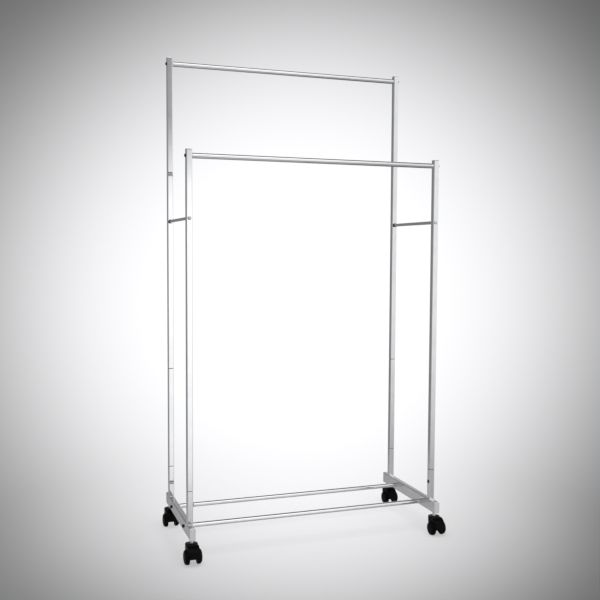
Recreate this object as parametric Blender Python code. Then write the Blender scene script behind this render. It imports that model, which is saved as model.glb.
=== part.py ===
"""Rolling clothes rack with two hanging rails: chrome square uprights in two base frames, joined by round
rails, bottom bars and link rods, on four twin-wheel swivel casters.

Metres, +Z up. The front of the rack faces -Y. The floor is z = 0, and the origin is under the middle of
the rack's bounding box.
"""

import math

import bmesh
import bpy
from mathutils import Matrix, Vector

# Clearances between pieces that touch or run in each other
FIT_GAP = 0.0003
SCREW_CLEARANCE = 0.0003
TREAD_CLEARANCE = 0.0013
WHEEL_SIDE_CLEARANCE = 0.0004

# Overall sizes
UPRIGHT_SPACING_X = 0.900
UPRIGHT_SPACING_Y = 0.340
FRONT_HEIGHT = 1.359
REAR_HEIGHT = 1.723

# Square upright tube
TUBE_SIZE = 0.020
TUBE_WALL = 0.0012
TUBE_CORNER = 0.0025
SPIGOT_LENGTH = 0.055
SPIGOT_TAPER = 0.0015
STUB_HEIGHT = 0.112
REAR_JOINT_HEIGHT = 0.595

# Base beam
BEAM_WIDTH = 0.020
BEAM_HEIGHT = 0.040
BEAM_LENGTH = 0.440
BEAM_WALL = 0.0015
BEAM_CORNER = 0.0025

# Plastic caps
CAP_THICKNESS = 0.0020
CAP_PLUG_DEPTH = 0.012
CAP_PLUG_WALL = 0.0020
CAP_PLUG_FLOOR = 0.0040
CAP_EDGE = 0.0008

# Round bars
RAIL_RADIUS = 0.009
RAIL_WALL = 0.0010
RAIL_DROP = 0.022
BAR_RADIUS = 0.008
BAR_WALL = 0.0010
BAR_HEIGHT = 0.016
BAR_OFFSET_Y = 0.111
LINK_RADIUS = 0.006
LINK_WALL = 0.0010
LINK_HEIGHT = 1.134
INSERT_DEPTH = 0.016
SPACER_LENGTH = 0.007
SPACER_RADIUS = 0.0072

# Screws
SCREW_RADIUS = 0.0030
SCREW_GRIP = 0.012
RAIL_HEAD_RADIUS = 0.0060
RAIL_HEAD_HEIGHT = 0.0045
LINK_HEAD_RADIUS = 0.0065
LINK_HEAD_HEIGHT = 0.0035
SOCKET_RADIUS = 0.0020
SOCKET_DEPTH = 0.0020
LOCK_HEAD_RADIUS = 0.0060
LOCK_HEAD_HEIGHT = 0.0030
LOCK_SCREW_HEIGHT = 0.066

# Casters
WHEEL_RADIUS = 0.025
WHEEL_WIDTH = 0.016
WEB_WIDTH = 0.0255
HOOD_WIDTH = 0.040
HOOD_WALL = 0.0027
HOOD_EDGE = 0.0012
HOOD_FLOOR_GAP = 0.024
HOUSING_RADIUS = 0.0211
HOUSING_RISE = 0.010
HOUSING_STEP = 0.0015
HOUSING_HEIGHT = 0.024
NECK_HEIGHT = 0.014
CASTER_TRAIL = 0.020
STEM_INSET = 0.022
STEM_RADIUS = 0.0042
STEM_PIN_LENGTH = 0.020
STEM_COLLAR_RADIUS = 0.0055
STEM_FLANGE_RADIUS = 0.0068
STEM_FLANGE_HEIGHT = 0.0040
STEM_THREAD_LENGTH = 0.014
WELD_NUT_RADIUS = 0.0078
WELD_NUT_HEIGHT = 0.008
AXLE_RADIUS = 0.0025
HUB_END_WALL = 0.0051
TREAD_EDGE = 0.0018
WHEEL_DOME = 0.0095
HUB_RADIUS = 0.0085
HUB_RISE = 0.0010

# Facets
CORNER_STEPS = 2
ROUND_STEPS = 20
WHEEL_STEPS = 26
SCREW_STEPS = 12
DOME_STEPS = 3
SMOOTH_ANGLE = math.radians(35)
MERGE_DISTANCE = 1e-7

# Sizes that follow from those above
HOOD_RADIUS = WHEEL_RADIUS + TREAD_CLEARANCE + HOOD_WALL
HOOD_TOP = WHEEL_RADIUS + HOOD_RADIUS + HOUSING_RISE
BEAM_BOTTOM = HOOD_TOP + NECK_HEIGHT
BEAM_TOP = BEAM_BOTTOM + BEAM_HEIGHT
STUB_TOP = BEAM_TOP + STUB_HEIGHT
STEM_OFFSET_Y = BEAM_LENGTH / 2 - STEM_INSET
FRONT_REACH = STEM_OFFSET_Y + CASTER_TRAIL + HOOD_RADIUS
REAR_REACH = BEAM_LENGTH / 2
CENTRE_SHIFT_Y = (FRONT_REACH - REAR_REACH) / 2
WHEEL_INNER_X = WEB_WIDTH / 2 + WHEEL_SIDE_CLEARANCE
AXLE_LENGTH = 2 * (WHEEL_INNER_X + WHEEL_WIDTH - HUB_END_WALL)
SIDES = {"left": -1, "right": 1}
ENDS = {"front": -1, "rear": 1}
OPPOSITE = {"left": "right", "right": "left"}

# Turns that lay a shape made along +Z onto another axis
ALONG_X = Matrix.Rotation(math.radians(90), 4, "Y")
ALONG_MINUS_X = Matrix.Rotation(math.radians(-90), 4, "Y")
ALONG_Y = Matrix.Rotation(math.radians(-90), 4, "X")
ALONG_MINUS_Y = Matrix.Rotation(math.radians(90), 4, "X")
AXIS_TURN = {"+x": ALONG_X, "-x": ALONG_MINUS_X, "+y": ALONG_Y, "-y": ALONG_MINUS_Y, "+z": Matrix()}


def clear_scene():
    for obj in list(bpy.data.objects):
        bpy.data.objects.remove(obj, do_unlink=True)


def make_material(name, colour, roughness, metallic):
    made = bpy.data.materials.new(name)
    made.use_nodes = True
    shader = made.node_tree.nodes["Principled BSDF"]
    shader.inputs["Base Color"].default_value = (*colour, 1.0)
    shader.inputs["Roughness"].default_value = roughness
    shader.inputs["Metallic"].default_value = metallic
    return made


def make_object(name, mesh_data, finish, parent, location=(0, 0, 0)):
    obj = bpy.data.objects.new(name, mesh_data)
    bpy.context.scene.collection.objects.link(obj)
    obj.parent = parent
    obj.location = location
    if finish and not mesh_data.materials:
        mesh_data.materials.append(finish)
    return obj


def make_empty(name, parent, location):
    empty = bpy.data.objects.new(name, None)
    bpy.context.scene.collection.objects.link(empty)
    empty.parent = parent
    empty.location = location
    return empty


def mesh_from(bm, name, smooth=True):
    bmesh.ops.recalc_face_normals(bm, faces=bm.faces)
    data = bpy.data.meshes.new(name)
    bm.to_mesh(data)
    bm.free()
    if smooth:
        data.shade_smooth()
        data.set_sharp_from_angle(angle=SMOOTH_ANGLE)
    return data


def rounded_outline(half_x, half_y, corner):
    """The corners of a rectangle with round corners, anticlockwise from the +X side."""
    points = []
    for sign_x, sign_y, start in ((1, 1, 0), (-1, 1, 90), (-1, -1, 180), (1, -1, 270)):
        centre = Vector((sign_x * (half_x - corner), sign_y * (half_y - corner)))
        for step in range(CORNER_STEPS + 1):
            angle = math.radians(start + 90 * step / CORNER_STEPS)
            points.append(centre + corner * Vector((math.cos(angle), math.sin(angle))))
    return points


def loft(rings, name, closed=False):
    """Joins equal rings of points one after the other, as a ring of rings or with both ends filled."""
    bm = bmesh.new()
    made = [[bm.verts.new(point) for point in ring] for ring in rings]
    pairs = list(zip(made, made[1:]))
    if closed:
        pairs.append((made[-1], made[0]))
    else:
        bm.faces.new(made[0])
        bm.faces.new(made[-1])
    for low, high in pairs:
        for index in range(len(low)):
            after = (index + 1) % len(low)
            bm.faces.new((low[index], low[after], high[after], high[index]))
    return mesh_from(bm, name)


def square_ring(half_x, half_y, corner, z):
    return [(point.x, point.y, z) for point in rounded_outline(half_x, half_y, corner)]


def turned(profile, name, steps=ROUND_STEPS, closed=False, turn=Matrix()):
    """Turns a profile of (radius, height) points about Z: a ring if it is closed, else it ends on Z."""
    bm = bmesh.new()
    verts = [bm.verts.new((radius, 0, height)) for radius, height in profile]
    edges = [bm.edges.new(pair) for pair in zip(verts, verts[1:])]
    if closed:
        edges.append(bm.edges.new((verts[-1], verts[0])))
    bmesh.ops.spin(
        bm,
        geom=verts + edges,
        cent=(0, 0, 0),
        axis=(0, 0, 1),
        angle=math.tau,
        steps=steps,
        use_merge=True,
    )
    bmesh.ops.remove_doubles(bm, verts=bm.verts, dist=MERGE_DISTANCE)
    bm.transform(turn)
    return mesh_from(bm, name)


def arc(centre, radius, start, end, steps):
    """Points on an arc of a turned profile, from one angle in degrees to another."""
    points = []
    for step in range(steps + 1):
        angle = math.radians(start + (end - start) * step / steps)
        points.append((centre[0] + radius * math.cos(angle), centre[1] + radius * math.sin(angle)))
    return points


def add_tool(host, name, mesh_data, operation, location=(0, 0, 0)):
    """Cuts a shape from an object, or joins it on, and keeps the shape as a hidden helper."""
    tool = make_object(name, mesh_data, None, host.parent, location)
    tool.hide_render = True
    tool.display_type = "WIRE"
    modifier = host.modifiers.new(operation.title(), "BOOLEAN")
    modifier.operation = operation
    modifier.solver = "EXACT"
    modifier.object = tool


def drill(host, name, holes):
    """Drills round holes, each given as (middle, axis, radius, length)."""
    bm = bmesh.new()
    for middle, axis, radius, length in holes:
        bmesh.ops.create_cone(
            bm,
            cap_ends=True,
            segments=SCREW_STEPS,
            radius1=radius,
            radius2=radius,
            depth=length,
            matrix=Matrix.Translation(middle) @ AXIS_TURN[axis],
        )
    add_tool(host, name, mesh_from(bm, name, smooth=False), "DIFFERENCE")


def upright_mesh(name, bottom, top):
    """A square tube from bottom to top whose reduced lower end goes down into the tube or stub below it."""
    half = TUBE_SIZE / 2
    bore = half - TUBE_WALL
    spigot = bore - FIT_GAP
    spigot_bore = spigot - TUBE_WALL
    foot = bottom - SPIGOT_LENGTH
    corner = TUBE_CORNER
    bore_corner = corner - TUBE_WALL
    rings = [
        square_ring(half, half, corner, top),
        square_ring(half, half, corner, bottom + FIT_GAP),
        square_ring(spigot, spigot, bore_corner, bottom + FIT_GAP),
        square_ring(spigot, spigot, bore_corner, foot + SPIGOT_TAPER),
        square_ring(spigot - SPIGOT_TAPER / 2, spigot - SPIGOT_TAPER / 2, bore_corner, foot),
        square_ring(spigot_bore, spigot_bore, bore_corner, foot),
        square_ring(spigot_bore, spigot_bore, bore_corner, bottom + 2 * SPIGOT_TAPER),
        square_ring(bore, bore, bore_corner, bottom + 4 * SPIGOT_TAPER),
        square_ring(bore, bore, bore_corner, top),
    ]
    return loft(rings, name, closed=True)


def cap_mesh(name, half_x, half_y, corner, wall):
    """A push-in cap: its plate spans z = 0 to its thickness, and its hollow plug points down."""
    plug_x = half_x - wall - FIT_GAP
    plug_y = half_y - wall - FIT_GAP
    plug_corner = corner - wall
    inner_x = plug_x - CAP_PLUG_WALL
    inner_y = plug_y - CAP_PLUG_WALL
    rings = [
        square_ring(half_x - CAP_EDGE, half_y - CAP_EDGE, corner - CAP_EDGE, CAP_THICKNESS),
        square_ring(half_x, half_y, corner, CAP_THICKNESS - CAP_EDGE),
        square_ring(half_x, half_y, corner, 0),
        square_ring(plug_x, plug_y, plug_corner, 0),
        square_ring(plug_x, plug_y, plug_corner, -CAP_PLUG_DEPTH),
        square_ring(inner_x, inner_y, plug_corner, -CAP_PLUG_DEPTH),
        square_ring(inner_x, inner_y, plug_corner, -CAP_PLUG_FLOOR),
    ]
    return loft(rings, name)


def rod_mesh(name, radius, wall, length, turn):
    """A round tube with a threaded insert in each end."""
    end = length / 2
    thread = SCREW_RADIUS + SCREW_CLEARANCE
    bore = radius - wall
    shoulder = end - INSERT_DEPTH
    profile = [
        (thread, end),
        (radius, end),
        (radius, -end),
        (thread, -end),
        (thread, -shoulder),
        (bore, -shoulder),
        (bore, shoulder),
        (thread, shoulder),
    ]
    return turned(profile, name, closed=True, turn=turn)


def screw_mesh(name, head_radius, head_height, length, turn):
    """A dome-head screw with a socket in its head. Its head stands on z = 0 and its shank points down."""
    dome_radius = (head_radius**2 + head_height**2) / (2 * head_height)
    low = math.degrees(math.asin((dome_radius - head_height) / dome_radius))
    high = math.degrees(math.acos(SOCKET_RADIUS / dome_radius))
    dome = arc((0, head_height - dome_radius), dome_radius, low, high, DOME_STEPS)
    tip = SCREW_RADIUS / 4
    profile = [
        (0, -length),
        (SCREW_RADIUS - tip, -length),
        (SCREW_RADIUS, tip - length),
        (SCREW_RADIUS, 0),
        *dome,
        (SOCKET_RADIUS, head_height - SOCKET_DEPTH),
        (0, head_height - SOCKET_DEPTH),
    ]
    return turned(profile, name, steps=SCREW_STEPS, turn=turn)


def build_base_frame(side, x, rack, finish):
    """One welded side: the beam, the two upright stubs on it and the caster nuts inside it."""
    name = f"base_frame_{side}"
    half_x = BEAM_WIDTH / 2
    half_z = BEAM_HEIGHT / 2
    end = BEAM_LENGTH / 2 - CAP_THICKNESS - FIT_GAP
    bore_corner = BEAM_CORNER - BEAM_WALL
    rings = [
        square_ring(half_x, half_z, BEAM_CORNER, end),
        square_ring(half_x, half_z, BEAM_CORNER, -end),
        square_ring(half_x - BEAM_WALL, half_z - BEAM_WALL, bore_corner, -end),
        square_ring(half_x - BEAM_WALL, half_z - BEAM_WALL, bore_corner, end),
    ]
    beam_mesh = loft(rings, name, closed=True)
    beam_mesh.transform(ALONG_Y)
    beam_mesh.transform(Matrix.Translation((x, 0, BEAM_BOTTOM + half_z)))
    beam = make_object(name, beam_mesh, finish, rack)
    half = TUBE_SIZE / 2
    bore = half - TUBE_WALL
    weld_depth = BEAM_WALL / 2
    for end_name, sign in ENDS.items():
        stub_rings = [
            square_ring(half, half, TUBE_CORNER, BEAM_TOP - weld_depth),
            square_ring(half, half, TUBE_CORNER, STUB_TOP),
            square_ring(bore, bore, TUBE_CORNER - TUBE_WALL, STUB_TOP),
            square_ring(bore, bore, TUBE_CORNER - TUBE_WALL, BEAM_TOP + weld_depth),
        ]
        stub_name = f"{name}_{end_name}_stub"
        place = (x, sign * UPRIGHT_SPACING_Y / 2, 0)
        add_tool(beam, stub_name, loft(stub_rings, stub_name), "UNION", place)
        nut_low = BEAM_BOTTOM + weld_depth
        nut_high = BEAM_BOTTOM + BEAM_WALL + WELD_NUT_HEIGHT
        nut_profile = [(0, nut_low), (WELD_NUT_RADIUS, nut_low), (WELD_NUT_RADIUS, nut_high), (0, nut_high)]
        nut_name = f"{name}_{end_name}_nut"
        nut_place = (x, sign * STEM_OFFSET_Y, 0)
        add_tool(beam, nut_name, turned(nut_profile, nut_name, steps=SCREW_STEPS), "UNION", nut_place)
    hole = SCREW_RADIUS + SCREW_CLEARANCE
    stem_depth = 2 * (BEAM_WALL + WELD_NUT_HEIGHT + STEM_THREAD_LENGTH)
    holes = []
    for sign in ENDS.values():
        stem = Vector((x, sign * STEM_OFFSET_Y, BEAM_BOTTOM))
        holes.append((stem, "+z", STEM_RADIUS + SCREW_CLEARANCE, stem_depth))
        bar = Vector((x, sign * BAR_OFFSET_Y, BEAM_BOTTOM + BAR_HEIGHT))
        holes.append((bar, "+x", hole, 2 * BEAM_WIDTH))
    inner_face = x - SIDES[side] * half
    lock = Vector((inner_face, -UPRIGHT_SPACING_Y / 2, BEAM_TOP + LOCK_SCREW_HEIGHT))
    holes.append((lock, "+x", hole, TUBE_SIZE / 2))
    drill(beam, f"{name}_holes", holes)


def build_uprights(side, x, rack, finish):
    """The front upright and the two lengths of the taller rear one."""
    hole = SCREW_RADIUS + SCREW_CLEARANCE
    across = 2 * TUBE_SIZE
    front_y = -UPRIGHT_SPACING_Y / 2
    rear_y = UPRIGHT_SPACING_Y / 2
    lengths = (
        (f"front_upright_{side}", front_y, STUB_TOP, FRONT_HEIGHT - CAP_THICKNESS - FIT_GAP),
        (f"rear_upright_lower_{side}", rear_y, STUB_TOP, REAR_JOINT_HEIGHT),
        (f"rear_upright_upper_{side}", rear_y, REAR_JOINT_HEIGHT, REAR_HEIGHT - CAP_THICKNESS - FIT_GAP),
    )
    drillings = {
        f"front_upright_{side}": FRONT_HEIGHT - RAIL_DROP,
        f"rear_upright_upper_{side}": REAR_HEIGHT - RAIL_DROP,
    }
    for name, y, bottom, top in lengths:
        upright = make_object(name, upright_mesh(name, bottom, top), finish, rack, (x, y, 0))
        if name in drillings:
            rail_hole = (Vector((x, y, drillings[name])), "+x", hole, across)
            link_hole = (Vector((x, y, LINK_HEIGHT)), "+y", hole, across)
            drill(upright, f"{name}_holes", [rail_hole, link_hole])


def build_caps(rack, finish):
    """The plates that close the beam ends and the tops of the uprights."""
    beam_cap = cap_mesh("beam_end_cap", BEAM_WIDTH / 2, BEAM_HEIGHT / 2, BEAM_CORNER, BEAM_WALL)
    front_cap = beam_cap.copy()
    front_cap.transform(ALONG_MINUS_Y)
    rear_cap = beam_cap.copy()
    rear_cap.transform(ALONG_Y)
    end_meshes = {"front": front_cap, "rear": rear_cap}
    top_cap = cap_mesh("upright_top_cap", TUBE_SIZE / 2, TUBE_SIZE / 2, TUBE_CORNER, TUBE_WALL)
    heights = {"front": FRONT_HEIGHT, "rear": REAR_HEIGHT}
    beam_middle = BEAM_BOTTOM + BEAM_HEIGHT / 2
    for side, side_sign in SIDES.items():
        x = side_sign * UPRIGHT_SPACING_X / 2
        for end, end_sign in ENDS.items():
            beam_end = (x, end_sign * (BEAM_LENGTH / 2 - CAP_THICKNESS), beam_middle)
            make_object(f"beam_end_cap_{end}_{side}", end_meshes[end], finish, rack, beam_end)
            top = (x, end_sign * UPRIGHT_SPACING_Y / 2, heights[end] - CAP_THICKNESS)
            make_object(f"top_cap_{end}_{side}", top_cap, finish, rack, top)


def build_cross_bars(rack, finish):
    """The hanging rails between the uprights and the bottom bars between the beams."""
    rail_length = UPRIGHT_SPACING_X - TUBE_SIZE - 2 * FIT_GAP
    bar_length = UPRIGHT_SPACING_X - BEAM_WIDTH - 2 * FIT_GAP
    rail = rod_mesh("hanging_rail", RAIL_RADIUS, RAIL_WALL, rail_length, ALONG_X)
    bar = rod_mesh("bottom_bar", BAR_RADIUS, BAR_WALL, bar_length, ALONG_X)
    heights = {"front": FRONT_HEIGHT - RAIL_DROP, "rear": REAR_HEIGHT - RAIL_DROP}
    for end, sign in ENDS.items():
        rail_place = (0, sign * UPRIGHT_SPACING_Y / 2, heights[end])
        make_object(f"{end}_hanging_rail", rail, finish, rack, rail_place)
        bar_place = (0, sign * BAR_OFFSET_Y, BEAM_BOTTOM + BAR_HEIGHT)
        make_object(f"{end}_bottom_bar", bar, finish, rack, bar_place)


def build_links(rack, rod_finish, screw_finish, spacer_finish):
    """The short rods from each front upright to the rear one behind it, with their screws and spacers."""
    clear_depth = UPRIGHT_SPACING_Y - TUBE_SIZE
    rod_length = clear_depth - SPACER_LENGTH - 3 * FIT_GAP
    rod = rod_mesh("link_rod", LINK_RADIUS, LINK_WALL, rod_length, ALONG_Y)
    front_length = TUBE_SIZE + FIT_GAP + SCREW_GRIP
    rear_length = front_length + SPACER_LENGTH
    head = (LINK_HEAD_RADIUS, LINK_HEAD_HEIGHT)
    front_screw = screw_mesh("link_screw_front", *head, front_length, ALONG_MINUS_Y)
    rear_screw = screw_mesh("link_screw_rear", *head, rear_length, ALONG_Y)
    thread = SCREW_RADIUS + SCREW_CLEARANCE
    half = SPACER_LENGTH / 2
    spacer_profile = [(thread, half), (SPACER_RADIUS, half), (SPACER_RADIUS, -half), (thread, -half)]
    spacer = turned(spacer_profile, "link_spacer", steps=ROUND_STEPS, closed=True, turn=ALONG_Y)
    front_face = -UPRIGHT_SPACING_Y / 2 - TUBE_SIZE / 2
    rear_face = UPRIGHT_SPACING_Y / 2 + TUBE_SIZE / 2
    rod_y = -clear_depth / 2 + FIT_GAP + rod_length / 2
    spacer_y = clear_depth / 2 - FIT_GAP - half
    for side, sign in SIDES.items():
        x = sign * UPRIGHT_SPACING_X / 2
        make_object(f"link_rod_{side}", rod, rod_finish, rack, (x, rod_y, LINK_HEIGHT))
        make_object(f"link_spacer_{side}", spacer, spacer_finish, rack, (x, spacer_y, LINK_HEIGHT))
        front = (x, front_face - FIT_GAP, LINK_HEIGHT)
        make_object(f"link_screw_front_{side}", front_screw, screw_finish, rack, front)
        rear = (x, rear_face + FIT_GAP, LINK_HEIGHT)
        make_object(f"link_screw_rear_{side}", rear_screw, screw_finish, rack, rear)


def build_side_screws(rack, finish):
    """The black screws: rail and bar screws on the outer sides, lock screws inside the front stubs."""
    length = TUBE_SIZE + FIT_GAP + SCREW_GRIP
    head = (RAIL_HEAD_RADIUS, RAIL_HEAD_HEIGHT)
    turns = {"left": ALONG_MINUS_X, "right": ALONG_X}
    lock_length = TUBE_WALL + FIT_GAP
    lock_head = (LOCK_HEAD_RADIUS, LOCK_HEAD_HEIGHT)
    rails = {"front": FRONT_HEIGHT - RAIL_DROP, "rear": REAR_HEIGHT - RAIL_DROP}
    for side, side_sign in SIDES.items():
        outer = screw_mesh(f"side_screw_{side}", *head, length, turns[side])
        x = side_sign * UPRIGHT_SPACING_X / 2
        outer_x = x + side_sign * (TUBE_SIZE / 2 + FIT_GAP)
        beam_x = x + side_sign * (BEAM_WIDTH / 2 + FIT_GAP)
        for end, end_sign in ENDS.items():
            y = end_sign * UPRIGHT_SPACING_Y / 2
            make_object(f"rail_screw_{end}_{side}", outer, finish, rack, (outer_x, y, rails[end]))
            bar_place = (beam_x, end_sign * BAR_OFFSET_Y, BEAM_BOTTOM + BAR_HEIGHT)
            make_object(f"bar_screw_{end}_{side}", outer, finish, rack, bar_place)
        lock = screw_mesh(f"lock_screw_{side}", *lock_head, lock_length, turns[OPPOSITE[side]])
        lock_x = x - side_sign * (TUBE_SIZE / 2 + FIT_GAP)
        lock_place = (lock_x, -UPRIGHT_SPACING_Y / 2, BEAM_TOP + LOCK_SCREW_HEIGHT)
        make_object(f"lock_screw_{side}", lock, finish, rack, lock_place)


def stem_mesh(name):
    """The caster stem, with z = 0 at the floor: its pin, its neck, its flange and the thread in the beam."""
    flange_top = BEAM_BOTTOM - FIT_GAP
    flange_bottom = flange_top - STEM_FLANGE_HEIGHT
    edge = STEM_RADIUS / 5
    thread_top = BEAM_BOTTOM + STEM_THREAD_LENGTH
    profile = [
        (0, HOOD_TOP - STEM_PIN_LENGTH),
        (STEM_RADIUS - edge, HOOD_TOP - STEM_PIN_LENGTH),
        (STEM_RADIUS, HOOD_TOP - STEM_PIN_LENGTH + edge),
        (STEM_RADIUS, HOOD_TOP + FIT_GAP),
        (STEM_COLLAR_RADIUS, HOOD_TOP + FIT_GAP),
        (STEM_COLLAR_RADIUS, flange_bottom),
        (STEM_FLANGE_RADIUS, flange_bottom + edge),
        (STEM_FLANGE_RADIUS, flange_top),
        (STEM_RADIUS, flange_top),
        (STEM_RADIUS, thread_top - edge),
        (STEM_RADIUS - edge, thread_top),
        (0, thread_top),
    ]
    return turned(profile, name, steps=SCREW_STEPS)


def hood_ring(x, radius):
    """The hood's side view about the axle: an oval over the wheels, cut off level above the floor."""
    low = math.degrees(math.asin((WHEEL_RADIUS - HOOD_FLOOR_GAP) / radius))
    rise = 1 + (HOUSING_RISE - HOUSING_STEP) / HOOD_RADIUS
    return [(x, y, z * rise if z > 0 else z) for y, z in arc((0, 0), radius, -low, 180 + low, WHEEL_STEPS)]


def wheel_room_mesh(name, sign):
    """The space that one wheel turns in: a drum along X from the web out past the hood's side."""
    radius = WHEEL_RADIUS + TREAD_CLEARANCE
    near = sign * WEB_WIDTH / 2
    far = sign * HOOD_WIDTH
    profile = [(0, min(near, far)), (radius, min(near, far)), (radius, max(near, far)), (0, max(near, far))]
    return turned(profile, name, steps=2 * WHEEL_STEPS, turn=ALONG_X)


def build_hood(name, caster, finish):
    """The caster's one-piece hood: fenders over both wheels, the web between them and the swivel housing."""
    centre = (0, -CASTER_TRAIL, WHEEL_RADIUS)
    half = HOOD_WIDTH / 2
    rings = [
        hood_ring(-half, HOOD_RADIUS - HOOD_EDGE),
        hood_ring(HOOD_EDGE - half, HOOD_RADIUS),
        hood_ring(half - HOOD_EDGE, HOOD_RADIUS),
        hood_ring(half, HOOD_RADIUS - HOOD_EDGE),
    ]
    hood = make_object(name, loft(rings, name), finish, caster, centre)
    housing_bottom = HOOD_TOP - HOUSING_HEIGHT
    housing_profile = [
        (0, housing_bottom),
        (HOUSING_RADIUS - HOOD_WALL, housing_bottom),
        (HOUSING_RADIUS, housing_bottom + HOOD_WALL),
        (HOUSING_RADIUS, HOOD_TOP - HOOD_EDGE),
        (HOUSING_RADIUS - HOOD_EDGE, HOOD_TOP),
        (0, HOOD_TOP),
    ]
    housing_name = f"{name}_housing"
    add_tool(hood, housing_name, turned(housing_profile, housing_name, steps=WHEEL_STEPS), "UNION")
    for side, sign in SIDES.items():
        room_name = f"{name}_room_{side}"
        add_tool(hood, room_name, wheel_room_mesh(room_name, sign), "DIFFERENCE", centre)
    stem_depth = 2 * (STEM_PIN_LENGTH + FIT_GAP)
    stem_hole = (Vector((0, 0, HOOD_TOP)), "+z", STEM_RADIUS + SCREW_CLEARANCE, stem_depth)
    axle_hole = (Vector(centre), "+x", AXLE_RADIUS + SCREW_CLEARANCE, 2 * HOOD_WIDTH)
    drill(hood, f"{name}_holes", [stem_hole, axle_hole])


def wheel_mesh(name, turn):
    """A wheel about Z whose inner face is at z = 0: flat tread, domed outer side and a raised hub."""
    bore = AXLE_RADIUS + SCREW_CLEARANCE
    bore_depth = AXLE_LENGTH / 2 - WHEEL_INNER_X + FIT_GAP
    shoulder = WHEEL_WIDTH - WHEEL_DOME
    dome = arc((WHEEL_RADIUS - WHEEL_DOME, shoulder), WHEEL_DOME, 0, 90, DOME_STEPS)
    face = WHEEL_WIDTH
    recess_radius = WHEEL_RADIUS - WHEEL_DOME - TREAD_EDGE
    profile = [
        (0, bore_depth),
        (bore, bore_depth),
        (bore, 0),
        (WHEEL_RADIUS - TREAD_EDGE, 0),
        (WHEEL_RADIUS, TREAD_EDGE),
        *dome,
        (recess_radius, face),
        (recess_radius - HUB_RISE, face - HUB_RISE),
        (HUB_RADIUS + HUB_RISE, face - HUB_RISE),
        (HUB_RADIUS, face),
        (0, face),
    ]
    return turned(profile, name, steps=WHEEL_STEPS, turn=turn)


def build_casters(rack, finishes):
    """Four swivel casters: the stem stays with the frame, and the hood, axle and wheels turn about it."""
    stem = stem_mesh("caster_stem")
    axle_edge = AXLE_RADIUS / 5
    axle_half = AXLE_LENGTH / 2
    axle_profile = [
        (0, -axle_half),
        (AXLE_RADIUS - axle_edge, -axle_half),
        (AXLE_RADIUS, axle_edge - axle_half),
        (AXLE_RADIUS, axle_half - axle_edge),
        (AXLE_RADIUS - axle_edge, axle_half),
        (0, axle_half),
    ]
    axle = turned(axle_profile, "caster_axle", steps=SCREW_STEPS, turn=ALONG_X)
    wheels = {"left": wheel_mesh("wheel_left", ALONG_MINUS_X), "right": wheel_mesh("wheel_right", ALONG_X)}
    for side, side_sign in SIDES.items():
        for end, end_sign in ENDS.items():
            corner = f"{end}_{side}"
            place = (side_sign * UPRIGHT_SPACING_X / 2, end_sign * STEM_OFFSET_Y, 0)
            make_object(f"caster_stem_{corner}", stem, finishes["stem"], rack, place)
            caster = make_empty(f"caster_swivel_{corner}", rack, place)
            build_hood(f"caster_hood_{corner}", caster, finishes["hood"])
            centre = (0, -CASTER_TRAIL, WHEEL_RADIUS)
            make_object(f"caster_axle_{corner}", axle, finishes["axle"], caster, centre)
            for wheel_side, wheel_sign in SIDES.items():
                wheel_place = (wheel_sign * WHEEL_INNER_X, -CASTER_TRAIL, WHEEL_RADIUS)
                wheel_name = f"caster_wheel_{corner}_{wheel_side}"
                make_object(wheel_name, wheels[wheel_side], finishes["wheel"], caster, wheel_place)


def main():
    clear_scene()
    chrome = make_material("chrome_tube", (0.80, 0.80, 0.81), 0.08, 1.0)
    bright_screw = make_material("chrome_screw", (0.78, 0.78, 0.79), 0.15, 1.0)
    black_screw = make_material("black_screw", (0.02, 0.02, 0.02), 0.35, 0.0)
    grey_cap = make_material("grey_cap", (0.55, 0.55, 0.56), 0.35, 0.0)
    black_cap = make_material("black_cap", (0.03, 0.03, 0.03), 0.45, 0.0)
    caster_plastic = make_material("caster_plastic", (0.012, 0.012, 0.013), 0.32, 0.0)
    wheel_plastic = make_material("wheel_plastic", (0.015, 0.015, 0.016), 0.40, 0.0)
    steel = make_material("zinc_steel", (0.60, 0.60, 0.58), 0.30, 1.0)
    rack = make_empty("rack", None, (0, CENTRE_SHIFT_Y, 0))
    for side, sign in SIDES.items():
        x = sign * UPRIGHT_SPACING_X / 2
        build_base_frame(side, x, rack, chrome)
        build_uprights(side, x, rack, chrome)
    build_caps(rack, grey_cap)
    build_cross_bars(rack, chrome)
    build_links(rack, chrome, bright_screw, black_cap)
    build_side_screws(rack, black_screw)
    finishes = {"stem": steel, "hood": caster_plastic, "axle": steel, "wheel": wheel_plastic}
    build_casters(rack, finishes)


main()
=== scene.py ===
"""The looks of the rolling clothes rack: chrome tubes, caps, screws, casters, floor and studio."""

import math

import bmesh
import bpy
from mathutils import Matrix, Vector


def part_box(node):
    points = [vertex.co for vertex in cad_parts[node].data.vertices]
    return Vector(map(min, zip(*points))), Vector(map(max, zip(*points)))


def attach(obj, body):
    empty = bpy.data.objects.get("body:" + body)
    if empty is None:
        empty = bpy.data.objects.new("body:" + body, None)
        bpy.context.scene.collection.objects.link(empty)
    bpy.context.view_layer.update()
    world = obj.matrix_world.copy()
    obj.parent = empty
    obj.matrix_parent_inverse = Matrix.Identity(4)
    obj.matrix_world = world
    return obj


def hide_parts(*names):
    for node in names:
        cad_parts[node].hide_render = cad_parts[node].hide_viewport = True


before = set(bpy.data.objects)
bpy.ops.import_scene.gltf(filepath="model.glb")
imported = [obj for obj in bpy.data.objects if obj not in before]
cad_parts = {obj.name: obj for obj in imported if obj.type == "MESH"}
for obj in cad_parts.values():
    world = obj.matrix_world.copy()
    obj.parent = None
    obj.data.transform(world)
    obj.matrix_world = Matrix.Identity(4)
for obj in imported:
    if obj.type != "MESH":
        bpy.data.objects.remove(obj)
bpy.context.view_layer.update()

SIDES = {"left": -1, "right": 1}
ENDS = {"front": -1, "rear": 1}
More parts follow.
